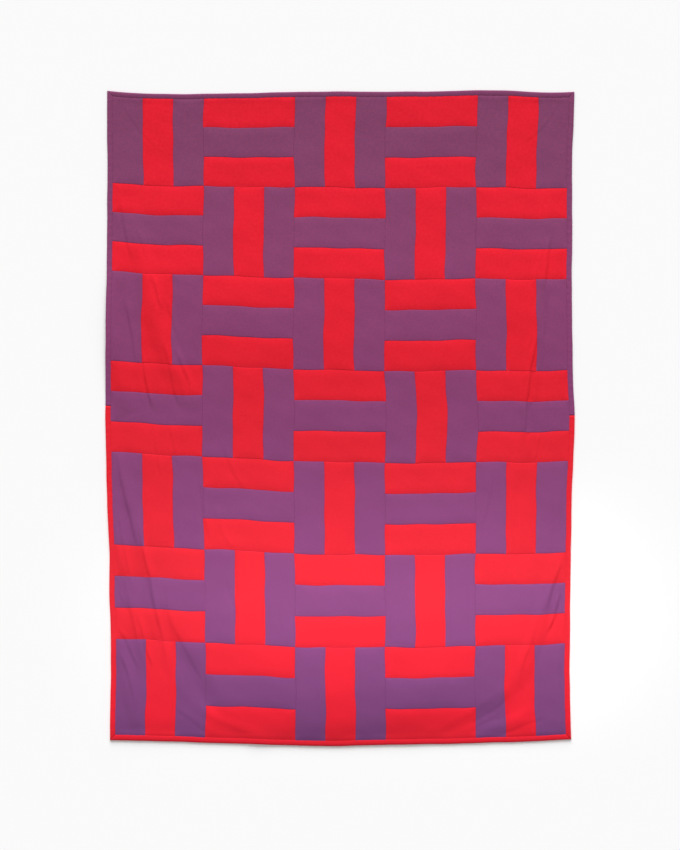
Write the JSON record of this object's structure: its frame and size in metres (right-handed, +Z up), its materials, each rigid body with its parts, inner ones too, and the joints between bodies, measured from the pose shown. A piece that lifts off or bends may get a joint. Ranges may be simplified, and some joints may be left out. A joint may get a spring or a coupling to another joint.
{
  "type": "quilt",
  "caption": "Throw quilt laid out flat, pieced from red and purple rails that turn block by block, quilted along its seams, with a narrow two-colour binding.",
  "frame": {"origin": "middle of the quilt's footprint, on the surface that it lies on", "axes": "+Z up, out of the quilt's front; +Y along its length, towards its top edge; +X across it, to the right as seen from above"},
  "size_m": [1.34, 1.8733, 0.0175],
  "materials": {
    "red_cotton": "matt plain-weave cotton",
    "purple_cotton": "matt plain-weave cotton"
  },
  "bodies": {
    "root": {"quilt": "red_cotton", "binding_top": "purple_cotton", "binding_left_upper": "purple_cotton", "binding_right_upper": "purple_cotton", "binding_left_lower": "red_cotton", "binding_right_lower": "red_cotton", "binding_bottom": "red_cotton"}
  },
  "joints": []
}
